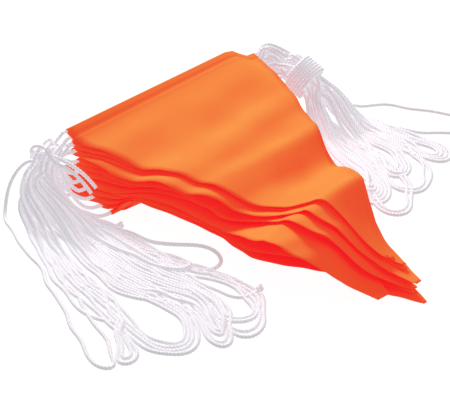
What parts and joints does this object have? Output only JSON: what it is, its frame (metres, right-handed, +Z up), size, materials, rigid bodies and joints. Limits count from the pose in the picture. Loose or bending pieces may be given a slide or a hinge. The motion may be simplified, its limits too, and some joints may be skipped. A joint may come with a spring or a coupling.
{
  "type": "fabric bunting",
  "caption": "Packed length of fabric bunting: triangular pennants stacked flat, their joining cord gathered into a tied hank on each side.",
  "frame": {"origin": "under the middle of the stack of pennants, on the surface that it lies on", "axes": "+X along the pennants' hems, +Y from their tips towards their hems, +Z up"},
  "size_m": [0.5355, 0.3617, 0.0812],
  "materials": {
    "orange_cloth": "matt woven synthetic cloth, fluorescent orange",
    "white_cord": "matt white three-strand laid cord"
  },
  "bodies": {
    "root": {"pennant_01": "orange_cloth", "pennant_02": "orange_cloth", "pennant_03": "orange_cloth", "pennant_04": "orange_cloth", "pennant_05": "orange_cloth", "pennant_06": "orange_cloth", "pennant_07": "orange_cloth", "pennant_08": "orange_cloth", "pennant_09": "orange_cloth", "pennant_10": "orange_cloth", "pennant_11": "orange_cloth", "pennant_12": "orange_cloth", "pennant_13": "orange_cloth", "pennant_14": "orange_cloth", "pennant_15": "orange_cloth", "pennant_16": "orange_cloth", "pennant_17": "orange_cloth", "pennant_18": "orange_cloth", "pennant_19": "orange_cloth", "pennant_20": "orange_cloth", "hank_left": "white_cord", "hank_right": "white_cord", "tie_left": "white_cord", "tie_right": "white_cord"}
  },
  "joints": []
}
